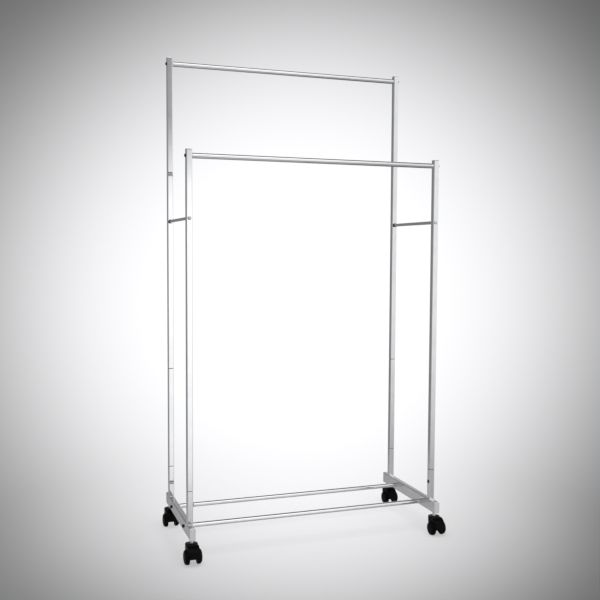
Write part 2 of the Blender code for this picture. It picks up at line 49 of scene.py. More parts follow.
MM = 0.001

# Camera
CAMERA_PLACE = Vector((-0.9932, -2.8164, 1.0279))
CAMERA_YAW = math.radians(19.246)
CAMERA_PITCH = math.radians(3.388)
CAMERA_ROLL = math.radians(0.291)
CAMERA_LENS = 49.29
SENSOR_WIDTH = 36.0

# Studio patches: azimuth from +Y, elevation, inner and outer angle (all in degrees), strength, falloff
STUDIO_PATCHES = (
    (math.degrees(CAMERA_YAW), -math.degrees(CAMERA_PITCH), 0, 31, 0.95, 1.75),  # the backdrop
    (169, -6, 6, 15.5, 0.98),  # a panel right of the camera
    (149, 6, 5, 28, 0.76),  # a softer one further right
    (174, 51, 13, 33, 1.35),  # high in front
    (166, -50, 12, 32, 0.36),  # the floor in front
    (-40, -8, 15, 55, 0.12),  # behind on the left
    (-105, 10, 15, 80, 0.30),  # the left wall
    (100, 0, 20, 58, 0.60),  # the right wall
    (110, 40, 10, 60, 0.12),  # high on the right
)
STUDIO_BASE = 0.12
STUDIO_TINT = (0.985, 0.985, 1, 1)
LAMP_HEIGHT = 3.6
LAMP_SIZE = 3.0
LAMP_POWER = 130

# Floor
FLOOR_RADIUS = 1.30
FLOOR_FADE_START = 0.25
FLOOR_COVER = 0.27
FLOOR_COLOUR = (0.80, 0.80, 0.81, 1)

# Finishes
GRAIN_DEPTH = 0.06 * MM
SCUFF_DEPTH = 0.1 * MM
CHROME_DARK = (0.775, 0.78, 0.79)
CHROME_LIGHT = (0.83, 0.83, 0.835)
CHROME_ROUGHNESS = 0.030
CHROME_WAVE = 0.01 * MM
DRAWN_STRETCH = 0.03

# Facets
CORNER_STEPS = 6
WHEEL_STEPS = 96
ROUND_STEPS = 48
ROD_STEPS = 64
BEAD_SIDES = 16
BEAD_STEPS = 40
FILLET_STEPS = 5
FILLET_SHARE = 0.45
FLOOR_STEPS = 96
HEAD_STEPS = 10
WHEEL_DOME_STEPS = 14
SMOOTH_ANGLE = math.radians(32)

# Tubes
TUBE_CORNER = 2.5 * MM
TUBE_WALL = 1.2 * MM
SPIGOT_LENGTH = 55.0 * MM
SPIGOT_TOP = 4.0 * MM
STUB_FOOT = 2.0 * MM
END_CHAMFER = 0.9 * MM
JOINT_GAP = 1.2 * MM
FLAT_MARGIN = 0.4 * MM
BEAD_RADIUS = 1.5 * MM
BEAD_RIPPLE = 0.12 * MM
BEAD_PITCH = 1.6 * MM
BEAD_INSET = 1.8 * MM
BEAD_TAPER = 0.35

# Rods, spacers and caps
ROD_EDGE = 0.4 * MM
SPACER_RIM = 2.0 * MM
SPACER_WAIST = 0.5 * MM
SPACER_FILLET = 0.6 * MM
CAP_THICKNESS = 2.0 * MM

# Screw heads: radius and height
RAIL_HEAD = (6.0 * MM, 4.5 * MM)
LINK_HEAD = (6.5 * MM, 3.5 * MM)
LOCK_HEAD = (6.0 * MM, 3.0 * MM)
HEAD_RIM = 0.35 * MM
SOCKET_RADIUS = 2.3 * MM
SOCKET_DEPTH = 2.0 * MM

# Casters
WEB_WIDTH = 25.5 * MM
HOOD_WIDTH = 40.0 * MM
HOOD_EDGE = 2.2 * MM
HOOD_FLOOR_GAP = 24.0 * MM
HOOD_RADIUS = 29.0 * MM
HOOD_CROWN = 37.5 * MM
HOOD_TOP = 64.0 * MM
HOOD_STEPS = 72
WHEEL_ROOM = 26.3 * MM
AXLE_HOLE = 2.8 * MM
CASTER_TRAIL = 20.0 * MM
WHEEL_RADIUS = 25.0 * MM
WHEEL_WIDTH = 16.0 * MM
WHEEL_DOME = 9.5 * MM
TREAD_MARGIN = 0.9 * MM
HEXAGON_RADIUS = 6.8 * MM

# Wheel ribs: reach, half width and shoulder drop at three stations, root and crest, all in mm
RIB_COUNT = 6
RIB_STATIONS = ((9.4, 1.5, 0.55), (11.6, 1.2, 0.45), (13.9, 1.5, 0.55))
RIB_ROOT = -1.4
RIB_CREST = -0.12

# Turns that bring Z onto an axis, one way or the other
ALONG_X = Matrix.Rotation(math.radians(90), 4, "Y")
ALONG_MINUS_X = Matrix.Rotation(math.radians(-90), 4, "Y")
ALONG_Y = Matrix.Rotation(math.radians(-90), 4, "X")
ALONG_MINUS_Y = Matrix.Rotation(math.radians(90), 4, "X")
FACING = {
    ("x", 1): ALONG_X,
    ("x", -1): ALONG_MINUS_X,
    ("y", 1): ALONG_Y,
    ("y", -1): ALONG_MINUS_Y,
    ("z", 1): Matrix(),
}


def node_tree_of(owner):
    """The empty node tree of a world or a material."""
    owner.use_nodes = True
    owner.node_tree.nodes.clear()
    return owner.node_tree


class Graph:
    """A short way to add and link shader nodes."""

    def __init__(self, owner):
        self.tree = node_tree_of(owner)

    def add(self, kind, inputs=None, **settings):
        node = self.tree.nodes.new(kind)
        for name, value in settings.items():
            setattr(node, name, value)
        for key, value in (inputs or {}).items():
            self.set(node, key, value)
        return node

    def set(self, node, key, value):
        socket = node.inputs[key]
        if isinstance(value, bpy.types.NodeSocket):
            self.tree.links.new(value, socket)
        else:
            socket.default_value = value

    def math(self, operation, first, second):
        return self.add("ShaderNodeMath", {0: first, 1: second}, operation=operation).outputs[0]

    def ramp(self, value, low, high, to_low=0.0, to_high=1.0):
        node = self.add("ShaderNodeMapRange", {"Value": value, "From Min": low, "From Max": high})
        node.inputs["To Min"].default_value = to_low
        node.inputs["To Max"].default_value = to_high
        node.interpolation_type = "SMOOTHSTEP"
        return node.outputs["Result"]

    def mix(self, factor, first, second):
        node = self.add("ShaderNodeMix", data_type="RGBA")
        self.set(node, "Factor", factor)
        for key, value in ((6, first), (7, second)):
            self.set(node, key, value)
        return node.outputs[2]

    def noise(self, place, scale, detail=3.0):
        node = self.add("ShaderNodeTexNoise", {"Vector": place, "Scale": scale, "Detail": detail})
        return node.outputs["Fac"]

    def stretched(self, place, scale):
        return self.add("ShaderNodeMapping", {"Vector": place, "Scale": scale}).outputs[0]

    def bump(self, height, strength, distance, normal=None):
        inputs = {"Height": height, "Strength": strength, "Distance": distance}
        if normal is not None:
            inputs["Normal"] = normal
        return self.add("ShaderNodeBump", inputs).outputs[0]


def set_camera():
    """A nearly level look at the rack from the left of its middle."""
    forward = Vector(
        (
            math.sin(CAMERA_YAW) * math.cos(CAMERA_PITCH),
            math.cos(CAMERA_YAW) * math.cos(CAMERA_PITCH),
            -math.sin(CAMERA_PITCH),
        )
    )
    level_right = Vector((math.cos(CAMERA_YAW), -math.sin(CAMERA_YAW), 0))
    level_up = level_right.cross(forward)
    right = math.cos(CAMERA_ROLL) * level_right + math.sin(CAMERA_ROLL) * level_up
    up = right.cross(forward)
    turn = Matrix((right, up, -forward)).transposed().to_4x4()
    data = bpy.data.cameras.new("camera")
    data.lens = CAMERA_LENS
    data.sensor_width = SENSOR_WIDTH
    data.clip_end = 50
    camera = bpy.data.objects.new("camera", data)
    bpy.context.scene.collection.objects.link(camera)
    camera.matrix_world = Matrix.Translation(CAMERA_PLACE) @ turn
    bpy.context.scene.camera = camera


def studio_lobe(graph, direction, azimuth, elevation, inner, outer, strength, falloff=1.0):
    """A round bright patch of studio wall: full inside one angle and gone outside the other."""
    aim = Vector(
        (
            math.sin(math.radians(azimuth)) * math.cos(math.radians(elevation)),
            math.cos(math.radians(azimuth)) * math.cos(math.radians(elevation)),
            math.sin(math.radians(elevation)),
        )
    )
    dot = graph.add("ShaderNodeVectorMath", {0: direction, 1: aim}, operation="DOT_PRODUCT")
    patch = graph.ramp(dot.outputs["Value"], math.cos(math.radians(outer)), math.cos(math.radians(inner)))
    return graph.math("MULTIPLY", graph.math("POWER", patch, falloff), strength)


def build_studio():
    """The room as the chrome sees it: a bright backdrop behind the rack and soft patches all round."""
    world = bpy.data.worlds.new("studio")
    bpy.context.scene.world = world
    graph = Graph(world)
    direction = graph.add("ShaderNodeTexCoord").outputs["Generated"]
    total = STUDIO_BASE
    for patch in STUDIO_PATCHES:
        total = graph.math("ADD", total, studio_lobe(graph, direction, *patch))
    background = graph.add("ShaderNodeBackground", {"Color": STUDIO_TINT, "Strength": total})
    output = graph.add("ShaderNodeOutputWorld")
    graph.set(output, "Surface", background.outputs[0])
    bpy.context.scene.view_settings.view_transform = "Standard"


def add_lamp():
    """A wide soft light that shines straight down on the rack and isn't mirrored in the chrome."""
    data = bpy.data.lights.new("overhead", "AREA")
    data.shape = "SQUARE"
    data.size = LAMP_SIZE
    data.energy = LAMP_POWER
    lamp = bpy.data.objects.new("overhead", data)
    bpy.context.scene.collection.objects.link(lamp)
    lamp.location = (0, 0, LAMP_HEIGHT)
    lamp.visible_camera = False
    lamp.visible_glossy = False


def build_floor():
    """A pale floor that fades into the backdrop."""
    mesh = bpy.data.meshes.new("floor")
    bm = bmesh.new()
    bmesh.ops.create_circle(bm, cap_ends=True, segments=FLOOR_STEPS, radius=FLOOR_RADIUS)
    bm.to_mesh(mesh)
    bm.free()
    floor = bpy.data.objects.new("floor", mesh)
    bpy.context.scene.collection.objects.link(floor)
    material = bpy.data.materials.new("floor")
    graph = Graph(material)
    place = graph.add("ShaderNodeTexCoord").outputs["Object"]
    reach = graph.add("ShaderNodeVectorMath", {0: place}, operation="LENGTH").outputs["Value"]
    paint = graph.add("ShaderNodeBsdfDiffuse", {"Color": FLOOR_COLOUR})
    clear = graph.add("ShaderNodeBsdfTransparent")
    shown = graph.ramp(reach, FLOOR_FADE_START, FLOOR_RADIUS, 1 - FLOOR_COVER, 1.0)
    mixed = graph.add("ShaderNodeMixShader", {0: shown, 1: paint.outputs[0], 2: clear.outputs[0]})
    output = graph.add("ShaderNodeOutputMaterial")
    graph.set(output, "Surface", mixed.outputs[0])
    mesh.materials.append(material)


def finish_material(name, shader_inputs):
    """A new material with a Principled shader, with its graph, its shader and the object's coordinates."""
    material = bpy.data.materials.new(name)
    graph = Graph(material)
    shader = graph.add("ShaderNodeBsdfPrincipled", shader_inputs)
    output = graph.add("ShaderNodeOutputMaterial")
    graph.set(output, "Surface", shader.outputs[0])
    place = graph.add("ShaderNodeTexCoord").outputs["Object"]
    return material, graph, shader, place


def metal_material(name, dark, light, roughness, stretch, wave):
    """Plated metal: drawing lines along one axis, cloudy polish and a slight wave under the plating."""
    material, graph, shader, place = finish_material(name, {"Metallic": 1.0})
    drawn = graph.stretched(place, stretch)
    lines = graph.noise(drawn, 900.0, 2.0)
    cloud = graph.noise(place, 28.0, 4.0)
    spots = graph.noise(place, 420.0, 2.0)
    tone = graph.math("ADD", graph.math("MULTIPLY", cloud, 0.6), graph.math("MULTIPLY", lines, 0.4))
    graph.set(shader, "Base Color", graph.mix(graph.ramp(tone, 0.35, 0.65), (*dark, 1), (*light, 1)))
    smear = graph.ramp(graph.math("MULTIPLY", cloud, spots), 0.14, 0.40, roughness, roughness * 2.4)
    graph.set(shader, "Roughness", smear)
    swell = graph.bump(graph.noise(drawn, 60.0, 1.0), 1.0, wave)
    graph.set(shader, "Normal", graph.bump(lines, 0.5, wave * 0.05, swell))
    return material


def plastic_material(name, dark, light, roughness, gloss, grain_scale):
    """Moulded plastic: a spark-eroded grain, faint flow marks and dust in the colour."""
    material, graph, shader, place = finish_material(name, {"Specular IOR Level": gloss})
    flow = graph.noise(place, 45.0)
    grain = graph.noise(place, grain_scale)
    dust = graph.ramp(graph.noise(place, 260.0, 5.0), 0.58, 0.80)
    body = graph.mix(graph.ramp(flow, 0.3, 0.7), (*dark, 1), (*light, 1))
    dusty = tuple(min(1.0, 1.2 * value + 0.002) for value in light)
    graph.set(shader, "Base Color", graph.mix(dust, body, (*dusty, 1)))
    graph.set(shader, "Roughness", graph.ramp(grain, 0.3, 0.7, roughness * 0.85, roughness * 1.25))
    graph.set(shader, "Normal", graph.bump(grain, 0.35, GRAIN_DEPTH))
    return material


def tread_material(name, colour):
    """The running surface of a wheel: worn matt with scuffs round it and a little pale dust."""
    material, graph, shader, place = finish_material(name, {"Specular IOR Level": 0.1})
    scuff = graph.noise(graph.stretched(place, (4, 1, 1)), 300.0, 4.0)
    dust = graph.ramp(graph.noise(place, 90.0, 5.0), 0.50, 0.78, 0.0, 0.5)
    pale = tuple(3.0 * value + 0.003 for value in colour)
    graph.set(shader, "Base Color", graph.mix(dust, (*colour, 1), (*pale, 1)))
    graph.set(shader, "Roughness", graph.ramp(scuff, 0.3, 0.7, 0.55, 0.85))
    graph.set(shader, "Normal", graph.bump(scuff, 0.4, SCUFF_DEPTH))
    return material


def rounded_section(half_a, half_b, corner):
    """A rectangle with round corners and an extra point beside each, which keeps the flats flat."""
    points = []
    for sign_a, sign_b, start in ((1, 1, 0), (-1, 1, 90), (-1, -1, 180), (1, -1, 270)):
        centre = Vector((sign_a * (half_a - corner), sign_b * (half_b - corner)))
        arc = []
        for step in range(CORNER_STEPS + 1):
            angle = math.radians(start + 90 * step / CORNER_STEPS)
            arc.append(centre + corner * Vector((math.cos(angle), math.sin(angle))))
        before = math.radians(start - 90)
        after = math.radians(start + 180)
        points.append(arc[0] + FLAT_MARGIN * Vector((math.cos(before), math.sin(before))))
        points.extend(arc)
        points.append(arc[-1] + FLAT_MARGIN * Vector((math.cos(after), math.sin(after))))
    return points


def filleted(points, radius):
    """An open profile with its inner corners rounded, each as far as its two sides allow."""
    result = [Vector(points[0])]
    for before, at, after in zip(points, points[1:], points[2:]):
        before, at, after = Vector(before), Vector(at), Vector(after)
        back = (before - at).normalized()
        ahead = (after - at).normalized()
        half = back.angle(ahead) / 2
        shorter = min((before - at).length, (after - at).length)
        reach = min(radius / math.tan(half), shorter * FILLET_SHARE)
        start = at + back * reach
        end = at + ahead * reach
        for step in range(FILLET_STEPS + 1):
            share = step / FILLET_STEPS
            result.append(start.lerp(at, share).lerp(at.lerp(end, share), share))
    result.append(Vector(points[-1]))
    return result


def add_loft(bm, rings):
    """Joins equal rings of points one after the other and fills the two ends."""
    made = [[bm.verts.new(point) for point in ring] for ring in rings]
    bm.faces.new(list(reversed(made[0])))
    bm.faces.new(made[-1])
    for low, high in zip(made, made[1:]):
        for index in range(len(low)):
            after = (index + 1) % len(low)
            bm.faces.new((low[index], low[after], high[after], high[index]))


def circle_ring(radius, height, steps=ROUND_STEPS, corners=0):
    """A ring about Z: a circle, or a polygon with that many corners."""
    ring = []
    for step in range(steps):
        angle = math.tau * step / steps
        reach = radius
        if corners:
            part = math.pi / corners
            reach = radius * math.cos(part) / math.cos((angle % (2 * part)) - part)
        ring.append(Vector((reach * math.cos(angle), reach * math.sin(angle), height)))
    return ring


def add_turned(bm, profile, steps, turn=None):
    """Turns a profile of (radius, height) points about Z. Flat ends close it."""
    turn = turn or Matrix()
    rings = [circle_ring(radius, height, steps) for radius, height in profile]
    add_loft(bm, [[turn @ point for point in ring] for ring in rings])


def mesh_of(bm, name, materials):
    """Turns a bmesh into a mesh with outward normals and sharp edges only where it folds."""
    bmesh.ops.recalc_face_normals(bm, faces=bm.faces)
    data = bpy.data.meshes.new(name)
    bm.to_mesh(data)
    bm.free()
    data.shade_smooth()
    data.set_sharp_from_angle(angle=SMOOTH_ANGLE)
    for material in materials:
        data.materials.append(material)
    return data


def add_piece(name, data, body, node, place=(0, 0, 0)):
    """Adds a visible piece that rides on a body and stands for its CAD node."""
    piece = bpy.data.objects.new(name, data)
    bpy.context.scene.collection.objects.link(piece)
    piece.location = place
    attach(piece, body)
    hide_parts(node)


def corners_of(node):
    """The lowest and highest corners of a CAD node."""
    low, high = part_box(node)
    return Vector(low), Vector(high)


def seat_on(node, axis, sign, depth):
    """A place at the given depth below one side of a CAD node, with Z pointing out of that side."""
    low, high = corners_of(node)
    place = (low + high) / 2
    index = "xyz".index(axis)
    place[index] = (high[index] if sign > 0 else low[index]) - sign * depth
    return Matrix.Translation(place) @ FACING[axis, sign]


def tube_rings(half_a, half_b, low, high, chamfer):
    """Rings of a straight length of rectangular tube about Z with its ends chamfered."""
    rings = []
    for height, inset in ((low, chamfer), (low + chamfer, 0), (high - chamfer, 0), (high, chamfer)):
        section = rounded_section(half_a - inset, half_b - inset, TUBE_CORNER - inset)
        rings.append([Vector((point.x, point.y, height)) for point in section])
    return rings


def add_upright(node):
    """An upright length, with the top of its reduced spigot showing in the joint below it: unplated steel
    made near-black as painted shade in the joint gap.
    """
    low, high = corners_of(node)
    centre = (low + high) / 2
    half = (high.x - low.x) / 2
    bottom = low.z + SPIGOT_LENGTH
    neck = half - TUBE_WALL - END_CHAMFER / 2
    rings = []
    for height in (bottom - SPIGOT_TOP, bottom + JOINT_GAP):
        section = rounded_section(neck, neck, TUBE_CORNER - TUBE_WALL)
        rings.append([Vector((point.x, point.y, height)) for point in section])
    rings += tube_rings(half, half, bottom + JOINT_GAP, high.z, END_CHAMFER)
    bm = bmesh.new()
    add_loft(bm, rings)
    # The faces below the joint take the near-black steel, which paints the shade in the joint gap.
    for part in bm.faces:
        if part.calc_center_median().z < bottom + JOINT_GAP / 2:
            part.material_index = 1
    bmesh.ops.translate(bm, verts=bm.verts, vec=(centre.x, centre.y, 0))
    tube = mesh_of(bm, node, [finishes["chrome_z"], finishes["spigot"]])
    add_piece(f"{node}_tube", tube, "frame", node)


def add_bead(bm, centre, half_length):
    """A rippled weld bead along X."""
    rings = []
    for step in range(BEAD_STEPS + 1):
        x = centre.x + half_length * (2 * step / BEAD_STEPS - 1)
        ease = min(1.0, (half_length - abs(x - centre.x)) / BEAD_RADIUS + BEAD_TAPER)
        radius = (BEAD_RADIUS + BEAD_RIPPLE * math.sin(math.tau * x / BEAD_PITCH)) * ease
        middle = Vector((x, centre.y, centre.z))
        rings.append([middle + ALONG_X @ point for point in circle_ring(radius, 0, BEAD_SIDES)])
    add_loft(bm, rings)


def add_base_frame(side):
    """One welded side: the beam and its two stubs with their weld beads."""
    node = f"base_frame_{side}"
    low, high = corners_of(node)
    cap_low, cap_high = corners_of(f"beam_end_cap_front_{side}")
    beam_half = (cap_high.z - cap_low.z) / 2
    centre = (low + high) / 2
    half = (high.x - low.x) / 2
    reach = (high.y - low.y) / 2
    bm = bmesh.new()
    add_loft(bm, tube_rings(half, beam_half, -reach, reach, END_CHAMFER / 2))
    bmesh.ops.transform(bm, matrix=ALONG_Y, verts=bm.verts)
    bmesh.ops.translate(bm, verts=bm.verts, vec=(centre.x, centre.y, (cap_low.z + cap_high.z) / 2))
    for upright in (f"front_upright_{side}", f"rear_upright_lower_{side}"):
        upright_low, upright_high = corners_of(upright)
        y = (upright_low.y + upright_high.y) / 2
        rings = tube_rings(half, half, cap_high.z - STUB_FOOT, high.z, END_CHAMFER)
        add_loft(bm, [[point + Vector((centre.x, y, 0)) for point in ring] for ring in rings])
        for sign in (-1, 1):
            add_bead(bm, Vector((centre.x, y + sign * half, cap_high.z)), half - BEAD_INSET)
    welded = mesh_of(bm, node, [finishes["chrome_y"]])
    add_piece(f"{node}_welded", welded, "frame", node)


def add_rod(node, turn, finish):
    """A round bar with softly broken end edges, along X or Y."""
    low, high = corners_of(node)
    half = (high - low) / 2
    length = max(half.x, half.y)
    radius = half.z
    start = [(radius - ROD_EDGE, -length), (radius, ROD_EDGE - length)]
    profile = start + [(reach, -place) for reach, place in reversed(start)]
    bm = bmesh.new()
    add_turned(bm, profile, ROD_STEPS, Matrix.Translation((low + high) / 2) @ turn)
    add_piece(f"{node}_bar", mesh_of(bm, node, [finishes[finish]]), "frame", node)


def add_spacer(node):
    """The black ring between a link rod and the rear upright, with rounded edges and a waist."""
    low, high = corners_of(node)
    half = (high.y - low.y) / 2
    radius = (high.z - low.z) / 2
    waist = radius - SPACER_WAIST
    start = [(radius - SPACER_RIM, -half), (radius, -half), (radius, -half / 2), (waist, -half / 3)]
    profile = start + [(reach, -place) for reach, place in reversed(start)]
    turn = Matrix.Translation((low + high) / 2) @ ALONG_Y
    bm = bmesh.new()
    add_turned(bm, filleted(profile, SPACER_FILLET), ROD_STEPS, turn)
    add_piece(f"{node}_ring", mesh_of(bm, node, [finishes["black_cap"]]), "frame", node)


def add_cap(node, axis, sign, slot_name):
    """A push-in cap: a crowned plate with a rounded rim and a sunk centre panel."""
    low, high = corners_of(node)
    half_a = (high.x - low.x) / 2
    half_b = (high.y - low.y if axis == "z" else high.z - low.z) / 2
    thick = CAP_THICKNESS
    seat = seat_on(node, axis, sign, thick)
    rings = []
    for inset, height in (
        (1.6 * MM, -5.0 * MM),
        (1.6 * MM, 0.1 * MM),
        (0.3 * MM, 0.1 * MM),
        (0.0, 0.3 * MM),
        (0.0, thick * 0.45),
        (0.25 * MM, thick * 0.75),
        (0.8 * MM, thick * 0.95),
        (1.5 * MM, thick),
        (3.2 * MM, thick),
        (3.6 * MM, thick - 0.35 * MM),
        (6.0 * MM, thick - 0.20 * MM),
    ):
        corner = max(0.4 * MM, TUBE_CORNER - inset * 0.4)
        section = rounded_section(half_a - inset, half_b - inset, corner)
        rings.append([seat @ Vector((point.x, point.y, height)) for point in section])
    bm = bmesh.new()
    add_loft(bm, rings)
    add_piece(f"{node}_plate", mesh_of(bm, node, [finishes[slot_name]]), "frame", node)


def add_screw(node, axis, sign, slot_name, head):
    """A button-head screw with a hexagon socket. Its head points along an axis, one way or the other."""
    head_radius, head_height = head
    socket_mouth = SOCKET_RADIUS + 0.3 * MM
    rings = [circle_ring(head_radius - 0.5 * MM, 0), circle_ring(head_radius, HEAD_RIM)]
    for step in range(1, HEAD_STEPS):
        angle = math.pi / 2 * step / HEAD_STEPS
        radius = socket_mouth + (head_radius - socket_mouth) * math.cos(angle)
        rings.append(circle_ring(radius, HEAD_RIM + (head_height - HEAD_RIM) * math.sin(angle)))
    rings.append(circle_ring(socket_mouth, head_height))
    rings.append(circle_ring(SOCKET_RADIUS, head_height - 0.25 * MM, corners=6))
    rings.append(circle_ring(SOCKET_RADIUS, head_height - SOCKET_DEPTH, corners=6))
    rings.append(circle_ring(0.4 * MM, head_height - SOCKET_DEPTH - 0.4 * MM))
    bm = bmesh.new()
    add_loft(bm, rings)
    bmesh.ops.transform(bm, matrix=seat_on(node, axis, sign, head_height), verts=bm.verts)
    add_piece(f"{node}_head", mesh_of(bm, node, [finishes[slot_name]]), "frame", node)


def add_screws():
    """All the screws: rail and bar screws face out, link screws front and rear, lock screws in."""
    for side, side_sign in SIDES.items():
        for end, end_sign in ENDS.items():
            for kind in ("rail", "bar"):
                add_screw(f"{kind}_screw_{end}_{side}", "x", side_sign, "black_screw", RAIL_HEAD)
            add_screw(f"link_screw_{end}_{side}", "y", end_sign, "chrome_screw", LINK_HEAD)
        add_screw(f"lock_screw_{side}", "x", -side_sign, "black_screw", LOCK_HEAD)


def hood_ring(x, inset):
    """The hood's side outline at one place across it."""
    radius = HOOD_RADIUS - inset
    low = math.asin((WHEEL_RADIUS - HOOD_FLOOR_GAP) / radius)
    stretch = (HOOD_CROWN - inset) / radius
    points = []
    for step in range(HOOD_STEPS + 1):
        angle = -low + (math.pi + 2 * low) * step / HOOD_STEPS
        height = radius * math.sin(angle) * (stretch if 0 < angle < math.pi else 1)
        points.append(Vector((x, radius * math.cos(angle) - CASTER_TRAIL, WHEEL_RADIUS + height)))
    return points


def solid_from(host, operations):
    """The mesh of a host object after a row of exact Booleans. The host and the helpers are removed."""
    helpers = []
    for operation, data in operations:
        helper = bpy.data.objects.new("helper", data)
        bpy.context.scene.collection.objects.link(helper)
        helpers.append(helper)
        modifier = host.modifiers.new(operation, "BOOLEAN")
        modifier.operation = operation
        modifier.solver = "EXACT"
        modifier.object = helper
    graph = bpy.context.evaluated_depsgraph_get()
    solid = bpy.data.meshes.new_from_object(host.evaluated_get(graph))
    for helper in [*helpers, host]:
        bpy.data.objects.remove(helper, do_unlink=True)
    return solid


def hood_mesh():
    """The hood about the stem's foot: oval fender, swivel housing with its collar, web and wheel rooms."""
    half = HOOD_WIDTH / 2
    rings = []
    for step in range(FILLET_STEPS + 1):
        angle = math.pi / 2 * step / FILLET_STEPS
        x = -half + HOOD_EDGE * (1 - math.cos(angle))
        rings.append(hood_ring(x, HOOD_EDGE * (1 - math.sin(angle))))
    rings += [[Vector((-point.x, point.y, point.z)) for point in ring] for ring in reversed(rings)]
    bm = bmesh.new()
    add_loft(bm, rings)
    host = bpy.data.objects.new("hood", mesh_of(bm, "hood", []))
    bpy.context.scene.collection.objects.link(host)
    top = HOOD_TOP
    housing = [
        (12.0 * MM, top - 24 * MM),
        (18.4 * MM, top - 24 * MM),
        (21.1 * MM, top - 21 * MM),
        (21.1 * MM, top - 6.6 * MM),
        (20.5 * MM, top - 6.3 * MM),
        (20.5 * MM, top - 5.7 * MM),
        (21.1 * MM, top - 5.4 * MM),
        (21.1 * MM, top - 1.2 * MM),
        (14.2 * MM, top - 0.9 * MM),
        (13.4 * MM, top),
        (7.4 * MM, top),
        (6.6 * MM, top - 1.2 * MM),
        (4.5 * MM, top - 1.3 * MM),
        (4.5 * MM, top - 20.3 * MM),
    ]
    bm = bmesh.new()
    add_turned(bm, filleted(housing, 0.7 * MM), WHEEL_STEPS)
    operations = [("UNION", mesh_of(bm, "housing", []))]
    axle = Matrix.Translation((0, -CASTER_TRAIL, WHEEL_RADIUS)) @ ALONG_X
    for sign in SIDES.values():
        ends = sorted((sign * WEB_WIDTH / 2, sign * HOOD_WIDTH))
        bm = bmesh.new()
        add_turned(bm, [(WHEEL_ROOM, ends[0]), (WHEEL_ROOM, ends[1])], WHEEL_STEPS, axle)
        operations.append(("DIFFERENCE", mesh_of(bm, "room", [])))
    bm = bmesh.new()
    add_turned(bm, [(AXLE_HOLE, -HOOD_WIDTH), (AXLE_HOLE, HOOD_WIDTH)], ROUND_STEPS, axle)
    operations.append(("DIFFERENCE", mesh_of(bm, "axle_hole", [])))
    solid = solid_from(host, operations)
    solid.shade_smooth()
    solid.set_sharp_from_angle(angle=SMOOTH_ANGLE)
    solid.materials.clear()
    solid.materials.append(finishes["caster_plastic"])
    return solid


def wheel_mesh(sign):
    """A wheel with its inner face at x = 0 and its domed side out: tread line, ribs and hub cap."""
    radius = WHEEL_RADIUS
    face = WHEEL_WIDTH
    shoulder = face - WHEEL_DOME
    inner = [
        (8.0 * MM, 0.4 * MM),
        (8.6 * MM, 0),
        (10.5 * MM, 0),
        (11.2 * MM, 2.0 * MM),
        (20.0 * MM, 2.0 * MM),
        (20.8 * MM, 0),
        (radius - 1.6 * MM, 0),
        (radius, 1.6 * MM),
        (radius, shoulder - 0.9 * MM),
        (radius - 0.35 * MM, shoulder - 0.6 * MM),
        (radius - 0.35 * MM, shoulder - 0.2 * MM),
        (radius - 0.02 * MM, shoulder + 0.1 * MM),
    ]
    profile = filleted(inner, 0.35 * MM)
    for step in range(1, WHEEL_DOME_STEPS + 1):
        angle = math.pi / 2 * step / WHEEL_DOME_STEPS
        height = shoulder + (WHEEL_DOME - 0.1 * MM) * math.sin(angle)
        profile.append(Vector((radius - WHEEL_DOME + WHEEL_DOME * math.cos(angle), height)))
    outer = [
        (radius - WHEEL_DOME, face - 0.1 * MM),
        (14.1 * MM, face - 0.1 * MM),
        (13.4 * MM, face - 1.0 * MM),
        (9.9 * MM, face - 1.0 * MM),
        (9.2 * MM, face),
        (6.2 * MM, face),
        (5.8 * MM, face - 0.5 * MM),
        (5.2 * MM, face - 0.5 * MM),
        (4.9 * MM, face - 0.1 * MM),
        (1.0 * MM, face - 0.02 * MM),
    ]
    profile += filleted(outer, 0.3 * MM)[1:]
    bm = bmesh.new()
    add_turned(bm, profile, WHEEL_STEPS)
    for part in bm.faces:
        centre = part.calc_center_median()
        if math.hypot(centre.x, centre.y) > radius - TREAD_MARGIN and centre.z < shoulder:
            part.material_index = 1
    for step in range(RIB_COUNT):
        spoke = Matrix.Rotation(math.tau * step / RIB_COUNT, 4, "Z")
        rings = []
        for reach, width, drop in RIB_STATIONS:
            flank = [(-width, RIB_ROOT), (-width, -drop), (-width * 0.55, RIB_CREST)]
            rib = flank + [(-along, up) for along, up in reversed(flank)]
            points = [Vector((reach * MM, along * MM, face + up * MM)) for along, up in rib]
            rings.append([spoke @ point for point in points])
        add_loft(bm, rings)
    bmesh.ops.transform(bm, matrix=ALONG_X if sign > 0 else ALONG_MINUS_X, verts=bm.verts)
    return mesh_of(bm, "wheel", [finishes["wheel_plastic"], finishes["tread"]])


def stem_mesh(hood_top, beam_bottom):
    """The stem between hood and beam: a plated neck, a thrust washer and a hexagon flange."""
    bm = bmesh.new()
    neck = [
        (4.2 * MM, hood_top - 12 * MM),
        (4.2 * MM, hood_top - 0.9 * MM),
        (6.2 * MM, hood_top - 0.9 * MM),
        (6.2 * MM, hood_top + 0.6 * MM),
        (5.5 * MM, hood_top + 1.0 * MM),
        (5.5 * MM, beam_bottom - 5.2 * MM),
        (4.9 * MM, beam_bottom - 4.9 * MM),
        (4.9 * MM, beam_bottom - 4.2 * MM),
    ]
    add_turned(bm, filleted(neck, 0.3 * MM), ROUND_STEPS)
    rings = [
        circle_ring(5.2 * MM, beam_bottom - 4.3 * MM),
        circle_ring(5.8 * MM, beam_bottom - 4.3 * MM),
        circle_ring(HEXAGON_RADIUS, beam_bottom - 3.8 * MM, corners=6),
        circle_ring(HEXAGON_RADIUS, beam_bottom - 0.8 * MM, corners=6),
        circle_ring(6.0 * MM, beam_bottom - 0.3 * MM),
        circle_ring(4.2 * MM, beam_bottom - 0.3 * MM),
        circle_ring(4.2 * MM, beam_bottom + 6.0 * MM),
    ]
    add_loft(bm, rings)
    return mesh_of(bm, "stem", [finishes["zinc_steel"]])


